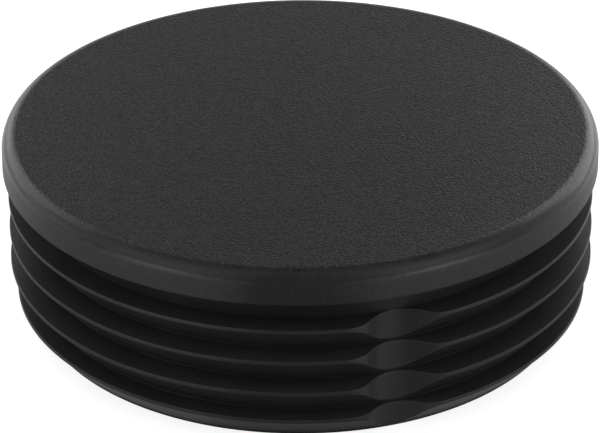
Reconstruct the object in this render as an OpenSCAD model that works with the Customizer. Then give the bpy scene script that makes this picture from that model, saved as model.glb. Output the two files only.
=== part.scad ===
// Ribbed round insert that closes the open end of a round tube, moulded in one piece.
// Millimetres, +Z up. The origin is on the axis, in the plane of the open end.

/* [Tube] */
// Outside diameter of the tube, which the head matches
tube_d = 100; // [60:0.1:160]
// Thinnest wall of the tube that the fins still grip
tube_wall = 1.5; // [1:0.1:4]

/* [Head] */
// Thickness of the head, from its seat on the tube to the flat top
head_t = 5.8; // [4:0.1:10]
// Radius of the rim, between the flat top and the side of the head
rim_r = 2.5; // [0.5:0.1:3.5]

/* [Fins] */
// Number of full fins above the lead fin
fin_count = 3; // [1:1:6]
// How far a full fin is larger than the tube's bore, on the radius
fin_bite = 0.7; // [0.2:0.1:1.2]
// Reach of a full fin, from the core to its tip
fin_reach = 4.4; // [3:0.1:7]
// How far the lead fin is smaller than the full fins, on the radius
lead_step = 1; // [0:0.1:2]
// Distance from one fin's upper face to the next
fin_pitch = 5.75; // [4:0.05:9]
// Thickness of a fin at its tip
fin_tip_t = 0.6; // [0.3:0.05:1.2]
// Plain core left between a fin's underside and the next fin
fin_land = 0.35; // [0.1:0.05:2]

/* [Core] */
// Clear height between the head's seat and the first fin
neck_h = 5.05; // [2:0.05:9]
// Plain end of the core below the lead fin
foot_h = 0.3; // [0.1:0.1:4]
// Wall of the core at the open end
core_wall = 2.6; // [1.6:0.1:4]
// Thickness of the plate that closes the top
plate_t = 4; // [2.5:0.1:6]
// Draft of the hollow in degrees, which narrows towards the plate
hollow_draft = 1; // [0.25:0.25:3]
// Fillet between the hollow's wall and the plate
hollow_fillet = 2; // [0.5:0.1:5]

/* [Relief notches] */
// Height of fin left standing off the core at the bottom of a notch
notch_floor = 0.2; // [0.1:0.1:1]
// Radius at the bottom of a notch
notch_nose_r = 6; // [2:0.5:9]
// Radius where a notch runs out into the full fins
notch_shoulder_r = 5; // [1:0.5:7]
// Angle in degrees between a flank of a notch and its centre line
notch_flank = 51; // [40:1:60]

/* [Gate mark] */
// Diameter of the gate mark in the middle of the hollow
gate_d = 3; // [1.5:0.5:6]
// Height of the gate mark
gate_h = 0.6; // [0.2:0.1:1.5]

/* [Hidden] */
$fn = 180;

// How far a cutter runs past what it cuts, and a joined piece into what carries it
over = 1;

// Radii
head_r = tube_d / 2;
fin_r = head_r - tube_wall + fin_bite;
lead_fin_r = fin_r - lead_step;
core_r = fin_r - fin_reach;
mouth_r = core_r - core_wall;

// A barb is the tip and the sloping underside, and every barb has the slope of a full fin
barb_slope = (fin_pitch - fin_tip_t - fin_land) / fin_reach;
function barb_h(tip_r) = fin_tip_t + (tip_r - core_r) * barb_slope;

// Heights above the open end
lead_top = foot_h + barb_h(lead_fin_r);
fin_top = lead_top + fin_count * fin_pitch;
seat_z = fin_top + neck_h;
top_z = seat_z + head_t;
ceiling_z = top_z - plate_t;

// The hollow's wall narrows with the draft up to the fillet, which starts where the wall ends
mouth_depth = ceiling_z + over;
wall_end_r = mouth_r - (ceiling_z - hollow_fillet) * tan(hollow_draft);
wall_start_r = mouth_r + over * tan(hollow_draft);

// Plan of a notch, along +Y. The mould's two slides meet in one plane, with a notch at each side of it.
// A straight flank meets the rounds of the nose and of the shoulder at the blend angle.
notch_count = 2;
blend = 5;
notch_r = core_r + notch_floor;
nose_r = min(notch_nose_r, (fin_r - notch_r) / 2 / (1 - sin(notch_flank)));
nose_c = [0, notch_r + nose_r];
flank_dir = [sin(notch_flank), cos(notch_flank)];
flank_side = [cos(notch_flank), -sin(notch_flank)];
flank_start = nose_c + nose_r * cos(blend) * flank_side;

// A shoulder passes just outside the tip of the full fins, and is no larger than the flank leaves room for
shoulder_pass = 0.1;
shoulder_tip = fin_r + shoulder_pass;
shoulder_span = shoulder_tip ^ 2 - flank_start * flank_start;
shoulder_room = shoulder_span / 2 / (shoulder_tip + flank_start * flank_side);
shoulder_r = min(notch_shoulder_r, 0.9 * shoulder_room);
shoulder_base = flank_start + shoulder_r * cos(blend) * flank_side;
shoulder_along = shoulder_base * flank_dir;
shoulder_reach = shoulder_tip - shoulder_r;
flank_len = sqrt(shoulder_along ^ 2 + shoulder_reach ^ 2 - shoulder_base * shoulder_base) - shoulder_along;
flank_end = flank_start + flank_len * flank_dir;
shoulder_c = shoulder_base + flank_len * flank_dir;

// Half section of one barb: flat on top, with a thin tip and a sloping underside
module barb_section(tip_r, top) {
    polygon([
        [core_r - over, top],
        [tip_r, top],
        [tip_r, top - fin_tip_t],
        [core_r, top - barb_h(tip_r)],
        [core_r - over, top - barb_h(tip_r)]
    ]);
}

// Half section of the head and the core, before the hollow is taken out
module body_section() {
    square([core_r, seat_z + over]);
    translate([0, seat_z]) {
        square([head_r, head_t - rim_r]);
        square([head_r - rim_r, head_t]);
        translate([head_r - rim_r, head_t - rim_r]) circle(r = rim_r);
    }
}

// Half section of the hollow, down from the plate, with its draft and its fillet
module hollow_section() {
    translate([0, ceiling_z]) {
        translate([wall_end_r - hollow_fillet, -hollow_fillet]) circle(r = hollow_fillet);
        polygon([
            [0, -mouth_depth],
            [wall_start_r, -mouth_depth],
            [wall_end_r, -hollow_fillet],
            [wall_end_r - hollow_fillet, 0],
            [0, 0]
        ]);
    }
}

// Plan of one notch, which opens away from the axis
module notch_plan() {
    outlet = shoulder_c * (fin_r + over) / shoulder_reach;
    right_side = [flank_start, flank_end, shoulder_c, outlet];
    left_side = [for (i = [len(right_side) - 1 : -1 : 0]) [-right_side[i].x, right_side[i].y]];
    difference() {
        union() {
            translate(nose_c) circle(r = nose_r);
            polygon(concat(right_side, left_side));
        }
        for (side = [-1, 1]) translate([side * shoulder_c.x, shoulder_c.y]) circle(r = shoulder_r);
    }
}

// The notches, through all the fins
module notches() {
    for (i = [0 : notch_count - 1]) {
        rotate(i * 360 / notch_count)
            translate([0, 0, -over])
                linear_extrude(fin_top + 2 * over) notch_plan();
    }
}

// The full fins and the lead fin, as whole rings
module fin_rings() {
    rotate_extrude() {
        barb_section(lead_fin_r, lead_top);
        for (i = [1 : fin_count]) barb_section(fin_r, lead_top + i * fin_pitch);
    }
}

// The head, the core and the relieved fins, hollowed from the open end
module tube_insert() {
    color("#35363a") {
        difference() {
            union() {
                rotate_extrude() body_section();
                difference() {
                    fin_rings();
                    notches();
                }
            }
            rotate_extrude() hollow_section();
        }
        translate([0, 0, ceiling_z - gate_h]) cylinder(d = gate_d, h = gate_h + over);
    }
}

tube_insert();
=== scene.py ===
"""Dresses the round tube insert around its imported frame.

The insert is one moulding in black low-density polyethylene. Its flat top carries a fine spark-eroded
grain inside a smooth rounded rim. Four barbed fins ring the core below a plain neck, two notches relieve
the fins along the parting plane of the mould, and the core is hollow from below.
"""

import logging
import math
from collections.abc import Sequence
from dataclasses import dataclass, field, replace
from enum import IntEnum
from typing import Any

import bpy
import numpy as np
from mathutils import Matrix, Vector

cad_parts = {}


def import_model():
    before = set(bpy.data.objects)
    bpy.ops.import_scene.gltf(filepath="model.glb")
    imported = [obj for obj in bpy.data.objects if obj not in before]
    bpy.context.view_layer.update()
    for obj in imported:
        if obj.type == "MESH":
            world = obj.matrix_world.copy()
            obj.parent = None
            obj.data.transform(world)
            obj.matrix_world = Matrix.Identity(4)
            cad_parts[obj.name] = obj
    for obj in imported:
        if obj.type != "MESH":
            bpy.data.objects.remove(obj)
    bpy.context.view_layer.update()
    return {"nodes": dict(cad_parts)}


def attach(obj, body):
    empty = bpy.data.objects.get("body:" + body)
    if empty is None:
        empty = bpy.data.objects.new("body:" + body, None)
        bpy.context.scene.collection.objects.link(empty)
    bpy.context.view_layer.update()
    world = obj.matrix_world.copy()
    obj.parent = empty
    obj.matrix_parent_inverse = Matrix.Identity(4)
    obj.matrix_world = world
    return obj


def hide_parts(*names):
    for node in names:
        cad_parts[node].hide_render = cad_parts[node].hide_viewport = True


LOG = logging.getLogger("tube_insert")
MM = 0.001
IMAGE_WIDTH = 600
WHITE = "#ffffff"

# The most of a side that a rounding takes, and the most that the flat lead beside the rounding takes.
ROUNDING_SHARE, LEAD_SHARE = 0.4, 0.08

# Noise stays near its mean. A patch goes from dark to pale, and a grain from low to high, between two levels.
NOISE_MEAN = 0.5
PATCH_LEVELS = (0.15, 0.85)
GRAIN_LEVELS = (0.3, 0.7)


class Zone(IntEnum):
    """Parts of the moulding with a finish of their own; the value is the material slot's index."""

    TOP = 0
    RIM = 1
    NECK = 2
    FINS = 3
    HOLLOW = 4


def linear(hex_colour: str) -> tuple[float, float, float, float]:
    """Turns an sRGB hex colour into the linear colour that a shader takes.

    Args:
        hex_colour: Colour such as "#26272a".

    Returns:
        Linear red, green and blue, with an alpha of 1.
    """
    srgb = np.array([int(hex_colour[i : i + 2], 16) for i in (1, 3, 5)]) / 255
    low, high = srgb / 12.92, ((srgb + 0.055) / 1.055) ** 2.4
    return (*np.where(srgb <= 0.04045, low, high).tolist(), 1.0)


def add_node(
    tree: bpy.types.NodeTree, kind: str, inputs: dict[Any, Any] | None = None, **settings: Any
) -> bpy.types.Node:
    """Adds a node, sets its properties, and fills or links its inputs.

    Args:
        tree: Node tree that gets the node.
        kind: Blender's name for the type of node.
        inputs: Value of an input, or the output that feeds it, by the input's name or index.
        settings: Properties of the node by name.

    Returns:
        The new node.
    """
    node = tree.nodes.new(kind)
    for key, value in settings.items():
        setattr(node, key, value)
    for key, value in (inputs or {}).items():
        if isinstance(value, bpy.types.NodeSocket):
            tree.links.new(value, node.inputs[key])
        else:
            node.inputs[key].default_value = value
    return node


def new_tree(owner: bpy.types.Material | bpy.types.World) -> bpy.types.NodeTree:
    """Gives a material or a world an empty node tree and returns it."""
    owner.use_nodes = True
    owner.node_tree.nodes.clear()
    return owner.node_tree


def direction(azimuth: float, elevation: float) -> Vector:
    """Gives the unit vector (sin a cos e, -cos a cos e, sin e) for an azimuth and an elevation in degrees."""
    turn, rise = math.radians(azimuth), math.radians(elevation)
    return Vector((math.sin(turn) * math.cos(rise), -math.cos(turn) * math.cos(rise), math.sin(rise)))


def show(mesh: bpy.types.Mesh) -> bpy.types.Object:
    """Puts a mesh into the scene as an object of the same name, at the origin, and returns it."""
    obj = bpy.data.objects.new(mesh.name, mesh)
    bpy.context.scene.collection.objects.link(obj)
    return obj


@dataclass(frozen=True)
class Corner:
    """One corner of the half section, at every column of the turned surface.

    Attributes:
        radius: Distance from the axis in mm, one number or one for each column.
        height: Height above the open end in mm, one number or one for each column.
        zone: Finish of the corner's rounding and of the surface that follows it.
        ease: Radius of the rounding in mm.
        steps: Steps along the rounding.
    """

    radius: float | np.ndarray
    height: float | np.ndarray
    zone: Zone
    ease: float = 0.0
    steps: int = 4


def rounded_section(corners: Sequence[Corner], columns: int) -> tuple[np.ndarray, np.ndarray]:
    """Rounds the corners of a half section, at all columns at once.

    Each rounding is the arc that touches the two sides of its corner: its centre lies on the bisector, and
    its points turn evenly from one side's normal to the other's. A rounding takes no more than its share of
    a side. A short lead on each side of an arc keeps the shading of the flat sides flat.

    Args:
        corners: Corners from the axis at the top round to the axis below.
        columns: Number of columns.

    Returns:
        Points as rows by columns by (radius, height), and the zone of each strip between two rows.
    """
    points = np.stack(
        [np.stack(np.broadcast_arrays(c.radius, c.height, np.zeros(columns))[:2], -1) for c in corners]
    )
    rows, zones = [points[:1]], []
    for i in range(1, len(corners) - 1):
        back, ahead = points[i - 1] - points[i], points[i + 1] - points[i]
        back_length = np.linalg.norm(back, axis=-1, keepdims=True)
        ahead_length = np.linalg.norm(ahead, axis=-1, keepdims=True)
        back, ahead = back / back_length, ahead / ahead_length
        half = 0.5 * np.arccos(np.clip((back * ahead).sum(-1, keepdims=True), -1, 1))
        side = np.minimum(back_length, ahead_length)
        cut = np.minimum(corners[i].ease / np.tan(half), ROUNDING_SHARE * side)
        lead = cut + np.minimum(0.5 * cut, LEAD_SHARE * side)
        bisector = (back + ahead) / np.linalg.norm(back + ahead, axis=-1, keepdims=True)
        centre = points[i] + bisector * cut / np.cos(half)
        start, stop = points[i] + back * cut - centre, points[i] + ahead * cut - centre
        sweep = np.pi - 2 * half
        share = np.linspace(0, 1, corners[i].steps + 1)[:, None, None]
        arc = centre + (np.sin((1 - share) * sweep) * start + np.sin(share * sweep) * stop) / np.sin(sweep)
        rows += [(points[i] + back * lead)[None], arc, (points[i] + ahead * lead)[None]]
        zones += [corners[i - 1].zone] * 2 + [corners[i].zone] * (corners[i].steps + 1)
    rows.append(points[-1:])
    zones.append(corners[-2].zone)
    return np.concatenate(rows), np.array(zones)


def turned_mesh(name: str, section: np.ndarray, turn: np.ndarray, zones: np.ndarray) -> bpy.types.Mesh:
    """Turns a half section about the axis into a closed mesh.

    The point in row i and column j is (r cos a, r sin a, z), with r and z from the section and a the
    column's angle. The first and the last row lie on the axis: each becomes one point with a fan round it.

    Args:
        name: Name of the mesh.
        section: Points as rows by columns by (radius, height), in mm.
        turn: Angle of each column in radians, rising once round.
        zones: Zone of each strip between two rows.

    Returns:
        The mesh in metres, with smooth shading and the zones as material indices.
    """
    radius, height = section[..., 0], section[..., 1]
    grid = np.stack([radius * np.cos(turn), radius * np.sin(turn), height], -1) * MM
    points = np.concatenate([grid[0, :1], grid[1:-1].reshape(-1, 3), grid[-1, :1]])
    rows, columns = grid.shape[0] - 2, grid.shape[1]
    here = np.arange(columns)
    beside = np.roll(here, -1)
    down = 1 + columns * np.arange(rows - 1)[:, None]
    quads = np.stack([down + here, down + columns + here, down + columns + beside, down + beside], -1)
    first, last = 1, 1 + columns * (rows - 1)
    top_fan = np.stack([np.zeros_like(here), first + here, first + beside], -1)
    low_fan = np.stack([last + here, np.full_like(here, len(points) - 1), last + beside], -1)
    faces = top_fan.tolist() + quads.reshape(-1, 4).tolist() + low_fan.tolist()
    mesh = bpy.data.meshes.new(name)
    mesh.from_pydata(points.tolist(), [], faces)
    mesh.polygons.foreach_set("material_index", np.repeat(zones, columns).astype(np.int32))
    mesh.polygons.foreach_set("use_smooth", np.ones(len(faces), dtype=bool))
    mesh.update()
    return mesh


@dataclass(frozen=True)
class ReliefNotch:
    """Plan of a relief notch: a round nose, straight flanks and round shoulders, in mm and degrees.

    Attributes:
        floor_r: Distance from the axis to the bottom of the nose.
        nose_r: Radius of the nose.
        shoulder_r: Radius of a shoulder.
        flank: Angle between a flank and the centre line.
        tip_r: Radius of the fin, where a shoulder runs out.
    """

    floor_r: float = 45.0
    nose_r: float = 6.0
    shoulder_r: float = 5.0
    flank: float = 51.0
    tip_r: float = 49.2

    def reach(self, turn: np.ndarray) -> np.ndarray:
        """Works out how far a fin reaches along rays from the axis.

        Along a ray, the nose is the near side of its circle, the flank is a straight line that touches that
        circle, and the shoulder is the far side of a circle that touches the flank and the fin's tip.

        Args:
            turn: Angle of each ray from the notch's centre line, in radians.

        Returns:
            Distance from the axis for each ray, in mm.
        """
        lean = math.radians(self.flank)
        along = np.array([math.sin(lean), math.cos(lean)])
        aside = np.array([math.cos(lean), -math.sin(lean)])
        nose_y = self.floor_r + self.nose_r
        start = np.array([0.0, nose_y]) + self.nose_r * aside
        base = start + self.shoulder_r * aside
        centre_r = self.tip_r - self.shoulder_r
        length = math.sqrt((base @ along) ** 2 + centre_r**2 - base @ base) - base @ along
        end, shoulder = start + length * along, base + length * along
        start_turn, end_turn, shoulder_turn = (math.atan2(*p) for p in (start, end, shoulder))

        ray = np.abs(turn)
        nose_room = np.maximum(self.nose_r**2 - (nose_y * np.sin(ray)) ** 2, 0)
        nose = nose_y * np.cos(ray) - np.sqrt(nose_room)
        # Rays past the flank don't use it, and the least angle only keeps their sine off zero.
        least = 0.1
        flank = -(start @ aside) / np.sin(np.maximum(lean - ray, least))
        beside = ray - shoulder_turn
        shoulder_room = np.maximum(self.shoulder_r**2 - (centre_r * np.sin(beside)) ** 2, 0)
        shoulder_far = centre_r * np.cos(beside) + np.sqrt(shoulder_room)
        limits = [ray < start_turn, ray < end_turn, ray < shoulder_turn]
        return np.select(limits, [nose, flank, shoulder_far], self.tip_r)


@dataclass(frozen=True)
class Grain:
    """One layer of relief on a moulded surface.

    Attributes:
        width: Width of one grain in mm.
        depth: Height from its low to its high places in mm.
        draw: How much longer a grain is along the axis than across it.
        fade: Distances from the axis, in mm, between which the grain runs out; none leaves it everywhere.
        shade: Share by which its low places are painted darker than its high ones, as painted shade.
    """

    width: float
    depth: float
    draw: float = 1.0
    fade: tuple[float, float] | None = None
    shade: float = 0.0


@dataclass(frozen=True)
class Polyethylene:
    """Black low-density polyethylene, as one face of the mould leaves it.

    The plastic is a waxy near-black with a weak, broad gloss. Its colour and gloss drift a little over
    some millimetres, where the melt cooled against the steel, and the steel's own texture is its relief.

    Attributes:
        name: Name of the material.
        dark: Colour of the darker patches, as sRGB hex.
        pale: Colour of the paler patches, as sRGB hex.
        patch: Size of the patches in mm.
        rough: Roughness of the glossier and of the duller patches.
        gloss: Specular level, where 0.5 is a bare surface with no shading in its own relief.
        grains: Layers of relief.
        ior: Refractive index of the plastic.
    """

    name: str
    dark: str
    pale: str
    patch: float
    rough: tuple[float, float]
    gloss: float
    grains: tuple[Grain, ...]
    ior: float = 1.51

    def material(self) -> bpy.types.Material:
        """Builds the shader: patches drive colour and roughness, and the grains are bump on bump.

        Returns:
            The new material.
        """
        material = bpy.data.materials.new(self.name)
        tree = new_tree(material)
        place = add_node(tree, "ShaderNodeTexCoord").outputs["Object"]
        patches = {"Vector": place, "Scale": 1 / (self.patch * MM), "Detail": 3.0}
        drift = add_node(tree, "ShaderNodeTexNoise", patches).outputs["Fac"]
        ramp = add_node(tree, "ShaderNodeValToRGB", {"Fac": drift})
        for stop, level, shade in zip(ramp.color_ramp.elements, PATCH_LEVELS, (self.dark, self.pale)):
            stop.position, stop.color = level, linear(shade)
        colour = ramp.outputs["Color"]
        low, high = PATCH_LEVELS
        glossy, dull = self.rough
        spread = {"Value": drift, "From Min": low, "From Max": high, "To Min": glossy, "To Max": dull}
        rough = add_node(tree, "ShaderNodeMapRange", spread).outputs["Result"]
        relief: bpy.types.NodeSocket | None = None
        for grain in self.grains:
            colour, relief = self.lay(grain, tree, place, colour, relief)
        inputs = {
            "Base Color": colour,
            "Roughness": rough,
            "IOR": self.ior,
            "Specular IOR Level": self.gloss,
        }
        if relief is not None:
            inputs["Normal"] = relief
        shader = add_node(tree, "ShaderNodeBsdfPrincipled", inputs)
        add_node(tree, "ShaderNodeOutputMaterial", {"Surface": shader.outputs["BSDF"]})
        return material

    @staticmethod
    def lay(
        grain: Grain,
        tree: bpy.types.NodeTree,
        place: bpy.types.NodeSocket,
        colour: bpy.types.NodeSocket,
        relief: bpy.types.NodeSocket | None,
    ) -> tuple[bpy.types.NodeSocket, bpy.types.NodeSocket]:
        """Lays a grain on the layers before it: noise is its height, with painted shade in its low places.

        Args:
            grain: The layer.
            tree: Node tree of the material.
            place: Object coordinates.
            colour: Colour before the layer.
            relief: Normal of the layers before it, if there are any.

        Returns:
            Colour and normal with the layer.
        """
        drawn = place
        if grain.draw != 1.0:
            shrink = {"Vector": place, "Scale": (1.0, 1.0, 1 / grain.draw)}
            drawn = add_node(tree, "ShaderNodeMapping", shrink).outputs["Vector"]
        speckle = {"Vector": drawn, "Scale": 1 / (grain.width * MM), "Detail": 1.0, "Roughness": 0.4}
        height = add_node(tree, "ShaderNodeTexNoise", speckle).outputs["Fac"]
        if grain.fade is not None:
            across = {0: place, 1: (1.0, 1.0, 0.0)}
            flat = add_node(tree, "ShaderNodeVectorMath", across, operation="MULTIPLY").outputs["Vector"]
            from_axis = add_node(tree, "ShaderNodeVectorMath", {0: flat}, operation="LENGTH").outputs["Value"]
            start, stop = (distance * MM for distance in grain.fade)
            run_out = {"Value": from_axis, "From Min": start, "From Max": stop, "To Min": 1.0, "To Max": 0.0}
            left = add_node(tree, "ShaderNodeMapRange", run_out, interpolation_type="SMOOTHSTEP")
            flatter = {"Factor": left.outputs["Result"], "A": NOISE_MEAN, "B": height}
            height = add_node(tree, "ShaderNodeMix", flatter).outputs["Result"]
        bump: dict[str, Any] = {"Height": height, "Distance": grain.depth * MM, "Strength": 1.0}
        if relief is not None:
            bump["Normal"] = relief
        relief = add_node(tree, "ShaderNodeBump", bump).outputs["Normal"]
        # The low places are painted darker: painted shade in the pits of the grain.
        if grain.shade:
            low, high = GRAIN_LEVELS
            tones = {"To Min": 1 - grain.shade / 2, "To Max": 1 + grain.shade / 2}
            levels = {"Value": height, "From Min": low, "From Max": high, **tones}
            keep = add_node(tree, "ShaderNodeMapRange", levels).outputs["Result"]
            shaded = {0: colour, "Scale": keep}
            colour = add_node(tree, "ShaderNodeVectorMath", shaded, operation="SCALE").outputs["Vector"]
        return colour, relief


# Spark erosion pits the steel finely, which gives the top a matt speckle of bump and painted shade in the
# pits. The pits are a tenth or two of a millimetre wide, and are drawn about twice as coarse so they show.
SPARK_GRAINED = Polyethylene(
    name="black_polyethylene_spark_grained",
    dark="#1f2022",
    pale="#28292b",
    patch=9.0,
    rough=(0.46, 0.54),
    gloss=0.235,
    grains=(Grain(width=1.8, depth=0.04, shade=0.15), Grain(width=0.4, depth=0.12, shade=1.9)),
)
# The steel of the rim is smooth, which gives it a soft sheen with a faint mottle, partly painted shade in
# the low places of a faint relief. The top's grain and its painted shade run out on it, so the two meet
# without a line.
SMOOTH_RIM = Polyethylene(
    name="black_polyethylene_smooth_rim",
    dark="#2a2a2a",
    pale="#353535",
    patch=6.0,
    rough=(0.27, 0.33),
    gloss=0.31,
    grains=(
        Grain(width=0.7, depth=0.02, shade=0.3),
        Grain(width=0.4, depth=0.12, fade=(47.3, 48.9), shade=1.9),
    ),
)
# The neck is painted darker than the fins and given a weaker gloss: painted shade under the head's overhang.
SHADE_PAINTED_NECK = Polyethylene(
    name="black_polyethylene_neck_painted_shade",
    dark="#242625",
    pale="#2b2d2c",
    patch=7.0,
    rough=(0.36, 0.44),
    gloss=0.2,
    grains=(Grain(width=0.6, depth=0.006, draw=0.3),),
)
# The fins lie in the mould's slides, which are only machined, so faint lines run round their satin faces.
SLIDE_MOULDED = Polyethylene(
    name="black_polyethylene_slide_moulded",
    dark="#2f3130",
    pale="#373938",
    patch=7.0,
    rough=(0.31, 0.37),
    gloss=0.32,
    grains=(Grain(width=0.6, depth=0.005, draw=0.3),),
)
# The hollow is drawn off a core, which leaves faint streaks along the axis on a duller face.
CORE_MOULDED = Polyethylene(
    name="black_polyethylene_core_moulded",
    dark="#2e2f30",
    pale="#343536",
    patch=10.0,
    rough=(0.38, 0.5),
    gloss=0.26,
    grains=(Grain(width=0.5, depth=0.006, draw=12.0),),
)


@dataclass
class TubeInsert:
    """The moulded insert: its sizes in mm, its surface and its finishes.

    Attributes:
        head_r: Radius of the head.
        head_t: Thickness of the head.
        rim_r: Rounding between the flat top and the side of the head.
        head_ease: Rounding of the head's lower edge.
        tip_r: Radius of a full fin.
        lead_step: How far the lead fin is smaller.
        core_r: Radius of the core.
        fin_count: Number of full fins above the lead fin.
        fin_pitch: Distance from one fin's upper face to the next.
        fin_tip_t: Thickness of a fin at its tip.
        fin_land: Plain core between a fin's underside and the next fin.
        tip_eases: Roundings of a tip's upper and lower edge.
        root_ease: Rounding between a fin's underside and the next fin.
        neck_h: Clear height between the head and the first fin.
        neck_ease: Rounding between the neck and the head.
        foot_h: Plain end of the core below the lead fin.
        foot_ease: Rounding of the edges at the open end.
        mouth_r: Radius of the hollow at the open end.
        plate_t: Thickness of the plate that closes the top.
        draft: Draft of the hollow in degrees.
        hollow_fillet: Fillet between the hollow's wall and the plate.
        gate_r: Radius of the gate mark in the hollow.
        gate_h: Height of the gate mark.
        gate_eases: Roundings at the gate mark's root and at its end.
        witness: Height and half width of the parting line on the side of the head.
        close_turn: Angle in degrees to each side of a notch's middle with columns close together.
        close_columns: Columns over that angle, both sides together.
        plain_columns: Columns from one notch's close columns to the other's.
        line_columns: Distances along the head's side from the parting line to the columns beside it.
        notch: Plan of the two relief notches.
        finishes: Finish of each zone.
    """

    head_r: float = 49.985
    head_t: float = 5.8
    rim_r: float = 2.5
    head_ease: float = 0.2
    tip_r: float = 49.2
    lead_step: float = 1.0
    core_r: float = 44.8
    fin_count: int = 3
    fin_pitch: float = 5.75
    fin_tip_t: float = 0.6
    fin_land: float = 0.35
    tip_eases: tuple[float, float] = (0.1, 0.15)
    root_ease: float = 0.04
    neck_h: float = 5.05
    neck_ease: float = 0.4
    foot_h: float = 0.3
    foot_ease: float = 0.12
    mouth_r: float = 42.2
    plate_t: float = 4.0
    draft: float = 1.0
    hollow_fillet: float = 2.0
    gate_r: float = 1.5
    gate_h: float = 0.6
    gate_eases: tuple[float, float] = (0.15, 0.12)
    witness: tuple[float, float] = (0.01, 0.15)
    close_turn: float = 11.5
    close_columns: int = 65
    plain_columns: int = 103
    line_columns: tuple[float, ...] = (0.04, 0.09, 0.14, 0.19, 0.25, 0.36)
    notch: ReliefNotch = field(default_factory=ReliefNotch)
    finishes: dict[Zone, Polyethylene] = field(
        default_factory=lambda: {
            Zone.TOP: SPARK_GRAINED,
            Zone.RIM: SMOOTH_RIM,
            # The neck's finish is painted darker, as painted shade under the head.
            Zone.NECK: SHADE_PAINTED_NECK,
            Zone.FINS: SLIDE_MOULDED,
            Zone.HOLLOW: CORE_MOULDED,
        }
    )

    @property
    def barb_slope(self) -> float:
        """Drop of a fin's underside for each mm towards the core."""
        return (self.fin_pitch - self.fin_tip_t - self.fin_land) / (self.tip_r - self.core_r)

    def columns(self) -> np.ndarray:
        """Chooses the columns' angles: even steps, closer across each notch and closest at the parting line.

        Returns:
            Angles in radians, rising once round, with a notch in the middle of each half.
        """
        across = np.linspace(-self.close_turn, self.close_turn, self.close_columns)
        line = np.degrees(np.array(self.line_columns) / self.head_r)
        plain = np.linspace(self.close_turn, 180 - self.close_turn, self.plain_columns)[1:-1]
        half = np.sort(np.concatenate([across, line, -line, plain]))
        return np.radians(np.concatenate([half - 90, half + 90]))

    def section(self, turn: np.ndarray) -> list[Corner]:
        """Lists the corners of the half section, which the notches change from column to column.

        A notch cuts a fin back to its reach, so the fin's tip moves in and the lower corner of the tip slides
        down the sloping underside. Between two fins, the underside runs on to the lower fin's upper face,
        which it meets in a narrow root. The parting line stands out from the head's side as a bell curve.

        Args:
            turn: Angle of each column in radians.

        Returns:
            Corners from the axis at the top round to the axis in the hollow.
        """
        from_notch = (turn + np.pi) % np.pi - np.pi / 2
        lead_r = self.tip_r - self.lead_step
        reach = self.notch.reach(from_notch)
        lead_reach = replace(self.notch, tip_r=lead_r).reach(from_notch)
        rise, width = self.witness
        side_r = self.head_r + rise * np.exp(-((from_notch * self.head_r / width) ** 2))
        lead_h = self.fin_tip_t + (lead_r - self.core_r) * self.barb_slope
        lead_top = self.foot_h + lead_h
        neck_low = lead_top + self.fin_count * self.fin_pitch
        seat = neck_low + self.neck_h
        top = seat + self.head_t
        ceiling = top - self.plate_t
        corners = [
            Corner(0.0, top, Zone.TOP),
            Corner(side_r, top, Zone.RIM, self.rim_r, steps=18),
            Corner(side_r, seat, Zone.RIM, self.head_ease),
            Corner(self.core_r, seat, Zone.NECK, self.neck_ease),
            Corner(self.core_r, neck_low, Zone.FINS, self.root_ease),
        ]
        root_r = self.core_r - self.fin_land / self.barb_slope
        upper_ease, lower_ease = self.tip_eases
        for i in range(self.fin_count, -1, -1):
            full_tip, tip = (self.tip_r, reach) if i else (lead_r, lead_reach)
            fin_top = lead_top + i * self.fin_pitch
            tip_low = fin_top - self.fin_tip_t - (full_tip - tip) * self.barb_slope
            corners.append(Corner(tip, fin_top, Zone.FINS, upper_ease))
            corners.append(Corner(tip, tip_low, Zone.FINS, lower_ease))
            if i:
                corners.append(Corner(root_r, fin_top - self.fin_pitch, Zone.FINS, self.root_ease))
        ceiling_r = self.mouth_r - ceiling * math.tan(math.radians(self.draft))
        gate_root, gate_end = self.gate_eases
        corners += [
            Corner(self.core_r, self.foot_h, Zone.FINS, self.foot_ease),
            Corner(self.core_r, 0.0, Zone.FINS, self.foot_ease),
            Corner(self.mouth_r, 0.0, Zone.HOLLOW, self.foot_ease),
            Corner(ceiling_r, ceiling, Zone.HOLLOW, self.hollow_fillet, steps=10),
            Corner(self.gate_r, ceiling, Zone.HOLLOW, gate_root),
            Corner(self.gate_r, ceiling - self.gate_h, Zone.HOLLOW, gate_end),
            Corner(0.0, ceiling - self.gate_h, Zone.HOLLOW),
        ]
        return corners

    def build(self) -> bpy.types.Object:
        """Turns the section into the moulding's mesh and puts it into the scene.

        Returns:
            The moulding.
        """
        turn = self.columns()
        section, zones = rounded_section(self.section(turn), len(turn))
        return show(turned_mesh("tube_insert_moulding", section, turn, zones))

    def dress(self, moulding: bpy.types.Object) -> None:
        """Gives each zone its finish, and lets the moulding stand for the CAD solid.

        Args:
            moulding: The moulding's object.
        """
        for zone in Zone:
            moulding.data.materials.append(self.finishes[zone].material())
        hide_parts("tube_insert")
        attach(moulding, "root")


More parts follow.
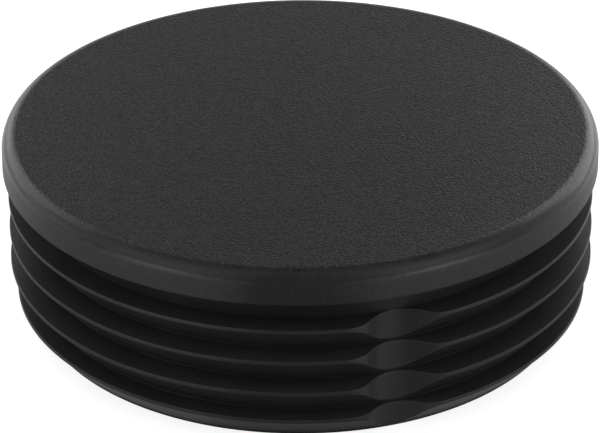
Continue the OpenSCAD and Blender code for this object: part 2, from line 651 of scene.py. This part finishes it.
@dataclass(frozen=True)
class PhotoCamera:
    """Camera at the photograph's viewing angle, aimed near the middle of the insert's flat top.

    Attributes:
        azimuth: Turn of the camera round the insert in degrees, 0 looking along +Y.
        elevation: Height above the horizon in degrees.
        distance: Distance from the aim in metres.
        aim_z: Height of the aim in metres.
        focal_px: Focal length in pixels of the image.
        tilt: Turn about the camera's right in degrees, after it is aimed.
        pan: Turn about the camera's up in degrees, after the tilt.
        roll: Turn about the line of sight in degrees.
        sensor: Width of the sensor in mm.
        clip: Nearest and farthest distance that it sees, in metres.
    """

    azimuth: float = -19.1
    elevation: float = 27.711
    distance: float = 0.7
    aim_z: float = 0.032709
    focal_px: float = 4180.1
    tilt: float = -1.2374
    pan: float = 0.0082
    roll: float = 0.3469
    sensor: float = 36.0
    clip: tuple[float, float] = (0.05, 50.0)

    def build(self) -> bpy.types.Object:
        """Adds the camera and makes it the scene's.

        Returns:
            The camera.
        """
        camera = bpy.data.cameras.new("photo_camera")
        camera.sensor_fit, camera.sensor_width = "HORIZONTAL", self.sensor
        camera.lens = self.focal_px * self.sensor / IMAGE_WIDTH
        camera.clip_start, camera.clip_end = self.clip
        back, right = direction(self.azimuth, self.elevation), direction(self.azimuth + 90, 0)
        tilt = Matrix.Rotation(math.radians(self.tilt), 3, right)
        ahead, up = tilt @ -back, tilt @ right.cross(-back)
        pan = Matrix.Rotation(math.radians(self.pan), 3, up)
        ahead, right = pan @ ahead, pan @ right
        roll = Matrix.Rotation(math.radians(self.roll), 3, ahead)
        axes = Matrix((roll @ right, roll @ up, -ahead)).transposed().to_4x4()
        obj = bpy.data.objects.new("photo_camera", camera)
        obj.matrix_world = Matrix.Translation(Vector((0, 0, self.aim_z)) + back * self.distance) @ axes
        bpy.context.scene.collection.objects.link(obj)
        bpy.context.scene.camera = obj
        return obj


@dataclass(frozen=True)
class Glow:
    """A soft light in the room: brightest at its middle, and gone at its spread.

    Attributes:
        azimuth: Turn in degrees from the camera's side, positive to the camera's right.
        elevation: Height above the horizon in degrees.
        spread: Angle in degrees from the middle to where the light ends.
        radiance: Brightness of the middle, where 1 is as bright as the white background.
    """

    azimuth: float
    elevation: float
    spread: float
    radiance: float


@dataclass(frozen=True)
class Softbox:
    """A flat soft light close to the insert, which it faces.

    Attributes:
        name: Name of the light.
        azimuth: Turn in degrees from the camera's side, positive to the camera's right.
        elevation: Height above the horizon in degrees.
        distance: Distance from the insert in metres.
        width: Width in metres.
        height: Height in metres.
        radiance: Brightness, where 1 is as bright as the white background.
        aim_z: Height of the point that it faces, in metres.
    """

    name: str
    azimuth: float
    elevation: float
    distance: float
    width: float
    height: float
    radiance: float
    aim_z: float = 0.03

    def build(self, front: float) -> bpy.types.Object:
        """Adds the light; its power is its radiance times pi times its area.

        Args:
            front: Azimuth of the camera in degrees.

        Returns:
            The light.
        """
        light = bpy.data.lights.new(self.name, "AREA")
        light.shape, light.size, light.size_y = "RECTANGLE", self.width, self.height
        light.energy = self.radiance * math.pi * self.width * self.height
        out = direction(front + self.azimuth, self.elevation)
        aim = out.to_track_quat("Z", "Y").to_matrix().to_4x4()
        obj = bpy.data.objects.new(self.name, light)
        obj.matrix_world = Matrix.Translation(Vector((0, 0, self.aim_z)) + out * self.distance) @ aim
        obj.visible_camera = False
        bpy.context.scene.collection.objects.link(obj)
        return obj


@dataclass(frozen=True)
class Studio:
    """A pale floor in a dim room, with soft light from both sides and from behind them.

    Attributes:
        front: Azimuth of the camera in degrees.
        floor_r: Radius of the floor in metres.
        floor_sides: Number of sides of the floor.
        floor_shade: Colour of the floor, which shadows darken.
        floor_lift: Brightness added to the floor where the camera sees it, up to white.
        gloss_lift: Brightness added to the floor where gloss shows it, beside the insert and in the open.
        open_from: Distances from the axis in mm between which the floor comes out into the open.
        open_turn: Angle from the camera's side in degrees, and the share of that brightness there.
        foot_ring: Distances from the axis in mm where the ring of floor at the foot, in gloss, starts to be
            bright, is bright, starts to be less so and is so no more.
        foot_lift: Brightness added to that ring where gloss shows it, at the sides and towards the camera.
        front_turn: Angles from the camera's side in degrees between which the floor comes out of the dark.
        front_shade: Colour of the floor towards the camera where gloss shows it.
        dim: Brightness of the room away from the lights.
        glows: Lights far off, at both sides of the camera and behind the insert.
        softboxes: Lights close by.
    """

    front: float
    floor_r: float = 6.0
    floor_sides: int = 96
    floor_shade: str = "#c8c8c8"
    floor_lift: float = 0.82
    gloss_lift: tuple[float, float] = (0.06, 0.72)
    open_from: tuple[float, float] = (78.0, 126.0)
    open_turn: tuple[tuple[float, float], ...] = (
        (20.0, 1.0),
        (45.0, 1.15),
        (58.0, 0.9),
        (74.0, 0.5),
        (92.0, 0.52),
        (108.0, 0.82),
        (120.0, 1.05),
    )
    foot_ring: tuple[float, float, float, float] = (44.0, 46.0, 49.5, 54.0)
    foot_lift: tuple[float, float] = (0.09, 0.15)
    front_turn: tuple[float, float] = (9.0, 25.0)
    front_shade: str = "#888888"
    dim: float = 0.085
    glows: tuple[Glow, ...] = (
        Glow(-40.0, 24.0, 26.0, 0.32),
        Glow(40.0, 24.0, 26.0, 0.3),
        Glow(-60.0, 32.0, 34.0, 0.58),
        Glow(60.0, 32.0, 34.0, 0.8),
        Glow(-70.0, 58.0, 34.0, 0.45),
        Glow(70.0, 58.0, 34.0, 0.42),
        Glow(-100.0, 15.0, 26.0, 0.5),
        Glow(-112.0, 7.0, 30.0, 0.7),
        Glow(112.0, 7.0, 30.0, 0.72),
        Glow(122.0, 12.0, 26.0, 0.25),
        Glow(-118.0, 40.0, 26.0, 0.22),
        Glow(-153.0, 8.0, 20.0, 0.96),
        Glow(153.0, 8.0, 20.0, 0.78),
    )
    softboxes: tuple[Softbox, ...] = (
        Softbox("softbox_left", -132.0, 26.0, 0.22, 0.16, 0.16, 1.5),
        Softbox("softbox_right", 132.0, 24.0, 0.2, 0.155, 0.155, 2.1),
        Softbox("softbox_back", 180.0, 13.0, 0.2, 0.2, 0.06, 0.8),
        Softbox("card_left", -48.0, 0.0, 0.28, 0.13, 0.08, 2.0),
        Softbox("card_right", 47.0, 0.0, 0.28, 0.12, 0.06, 2.6),
    )

    def build(self) -> None:
        """Adds the room, the floor and the softboxes."""
        self.room()
        self.floor()
        for softbox in self.softboxes:
            softbox.build(self.front)

    def room(self) -> None:
        """Lights the world: each glow falls off smoothly with the angle from its middle, and they add up."""
        world = bpy.data.worlds.new("soft_room")
        tree = new_tree(world)
        toward = add_node(tree, "ShaderNodeTexCoord").outputs["Generated"]
        level: bpy.types.NodeSocket | float = self.dim
        for glow in self.glows:
            pair = {0: toward, 1: direction(self.front + glow.azimuth, glow.elevation)}
            near = add_node(tree, "ShaderNodeVectorMath", pair, operation="DOT_PRODUCT").outputs["Value"]
            edge = math.cos(math.radians(glow.spread))
            fall = {"Value": near, "From Min": edge, "From Max": 1.0, "To Max": glow.radiance}
            light = add_node(tree, "ShaderNodeMapRange", fall, interpolation_type="SMOOTHSTEP")
            both = {0: level, 1: light.outputs["Result"]}
            level = add_node(tree, "ShaderNodeMath", both, operation="ADD").outputs[0]
        sky = add_node(tree, "ShaderNodeBackground", {"Color": linear(WHITE), "Strength": level})
        add_node(tree, "ShaderNodeOutputWorld", {"Surface": sky.outputs["Background"]})
        bpy.context.scene.world = world

    def floor(self) -> bpy.types.Object:
        """Adds the floor, a disc about the axis.

        Returns:
            The floor.
        """
        around = np.linspace(0, 2 * np.pi, self.floor_sides, endpoint=False)
        rim = np.stack([np.cos(around), np.sin(around), np.zeros_like(around)], -1) * self.floor_r
        mesh = bpy.data.meshes.new("pale_floor")
        mesh.from_pydata(rim.tolist(), [], [list(range(self.floor_sides))])
        mesh.materials.append(self.paper())
        floor = show(mesh)
        return floor

    def paper(self) -> bpy.types.Material:
        """Makes the floor's matt white paper, which shadows darken and which is lifted to white where seen.

        In gloss it is a darker grey towards the camera, and it has the brightness of gloss_level.

        Returns:
            The material.
        """
        material = bpy.data.materials.new("pale_paper")
        tree = new_tree(material)
        path = add_node(tree, "ShaderNodeLightPath").outputs
        rays = {0: path["Is Glossy Ray"], 1: path["Is Transmission Ray"]}
        gloss = add_node(tree, "ShaderNodeMath", rays, operation="MAXIMUM").outputs[0]
        place = add_node(tree, "ShaderNodeTexCoord").outputs["Object"]
        out = add_node(tree, "ShaderNodeVectorMath", {0: place}, operation="NORMALIZE").outputs["Vector"]
        pair = {0: out, 1: direction(self.front, 0)}
        ahead = add_node(tree, "ShaderNodeVectorMath", pair, operation="DOT_PRODUCT").outputs["Value"]
        dark_to, bright_from = (math.cos(math.radians(turn)) for turn in self.front_turn)
        turning = {"Value": ahead, "From Min": bright_from, "From Max": dark_to, "To Min": 0.0, "To Max": 1.0}
        turned = add_node(tree, "ShaderNodeMapRange", turning, interpolation_type="SMOOTHSTEP")
        dark = turned.outputs["Result"]
        level = self.gloss_level(tree, place, ahead, dark)
        in_gloss = add_node(tree, "ShaderNodeMath", {0: gloss, 1: level}, operation="MULTIPLY").outputs[0]
        lift = {0: path["Is Camera Ray"], 1: self.floor_lift, 2: in_gloss}
        seen = add_node(tree, "ShaderNodeMath", lift, operation="MULTIPLY_ADD").outputs[0]
        dark_gloss = add_node(tree, "ShaderNodeMath", {0: gloss, 1: dark}, operation="MULTIPLY").outputs[0]
        shades = add_node(tree, "ShaderNodeValToRGB", {"Fac": dark_gloss})
        for stop, shade in zip(shades.color_ramp.elements, (self.floor_shade, self.front_shade)):
            stop.color = linear(shade)
        matt = add_node(tree, "ShaderNodeBsdfDiffuse", {"Color": shades.outputs["Color"]})
        glow = add_node(tree, "ShaderNodeEmission", {"Color": linear(WHITE), "Strength": seen})
        layers = {0: matt.outputs["BSDF"], 1: glow.outputs["Emission"]}
        both = add_node(tree, "ShaderNodeAddShader", layers)
        add_node(tree, "ShaderNodeOutputMaterial", {"Surface": both.outputs["Shader"]})
        return material

    def gloss_level(
        self,
        tree: bpy.types.NodeTree,
        place: bpy.types.NodeSocket,
        ahead: bpy.types.NodeSocket,
        dark: bpy.types.NodeSocket,
    ) -> bpy.types.NodeSocket:
        """Works out the brightness that is added to the floor where gloss shows it.

        The floor is brighter in the open than beside the insert, by a share that changes with the turn from
        the camera's side, and this brightness is missing towards the camera. The ring at the foot comes on
        top, and is brightest towards the camera.

        Args:
            tree: Node tree of the floor's material.
            place: Object coordinates.
            ahead: Cosine of the turn from the camera's side.
            dark: 1 towards the camera and 0 elsewhere.

        Returns:
            The brightness.
        """
        from_axis = add_node(tree, "ShaderNodeVectorMath", {0: place}, operation="LENGTH").outputs["Value"]
        start, stop = (distance * MM for distance in self.open_from)
        lifts = dict(zip(("To Min", "To Max"), self.gloss_lift))
        opening = {"Value": from_axis, "From Min": start, "From Max": stop, **lifts}
        in_open = add_node(tree, "ShaderNodeMapRange", opening, interpolation_type="SMOOTHSTEP")

        # The ramp runs over half the cosine plus a half, which is 0 behind the insert and 1 in front of it.
        halves = {0: ahead, 1: 0.5, 2: 0.5}
        round_to = add_node(tree, "ShaderNodeMath", halves, operation="MULTIPLY_ADD").outputs[0]
        ramp = add_node(tree, "ShaderNodeValToRGB", {"Fac": round_to})
        stops = ramp.color_ramp.elements
        stops.remove(stops[0])
        for i, (turn, share) in enumerate(self.open_turn):
            at = 0.5 * math.cos(math.radians(turn)) + 0.5
            step = stops.new(at) if i else stops[0]
            step.position, step.color = at, (share, share, share, 1.0)
        shares = {0: in_open.outputs["Result"], 1: ramp.outputs["Color"]}
        open_level = add_node(tree, "ShaderNodeMath", shares, operation="MULTIPLY").outputs[0]

        lifts = dict(zip(("To Min", "To Max"), self.foot_lift))
        at_foot = add_node(tree, "ShaderNodeMapRange", {"Value": dark, **lifts}).outputs["Result"]
        rise, full, fall, end = (distance * MM for distance in self.foot_ring)
        for near, far, low, high in ((rise, full, 0.0, 1.0), (fall, end, 1.0, 0.0)):
            ring = {"Value": from_axis, "From Min": near, "From Max": far, "To Min": low, "To Max": high}
            part = add_node(tree, "ShaderNodeMapRange", ring, interpolation_type="SMOOTHSTEP")
            parts = {0: at_foot, 1: part.outputs["Result"]}
            at_foot = add_node(tree, "ShaderNodeMath", parts, operation="MULTIPLY").outputs[0]

        bright = add_node(tree, "ShaderNodeMath", {0: 1.0, 1: dark}, operation="SUBTRACT").outputs[0]
        total = {0: bright, 1: open_level, 2: at_foot}
        return add_node(tree, "ShaderNodeMath", total, operation="MULTIPLY_ADD").outputs[0]


def main() -> None:
    """Loads the frame, builds the insert and its stage, and logs each piece."""
    logging.basicConfig(level=logging.INFO, format="%(name)s: %(message)s")
    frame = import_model()
    LOG.info("frame with %d node", len(frame["nodes"]))
    bpy.context.scene.view_settings.view_transform = "Standard"

    insert = TubeInsert()
    moulding = insert.build()
    insert.dress(moulding)
    LOG.info("%s: %d faces", moulding.name, len(moulding.data.polygons))

    camera = PhotoCamera()
    camera.build()
    Studio(front=camera.azimuth).build()
    LOG.info("camera, floor and lights in place")


if __name__ == "__main__":
    main()
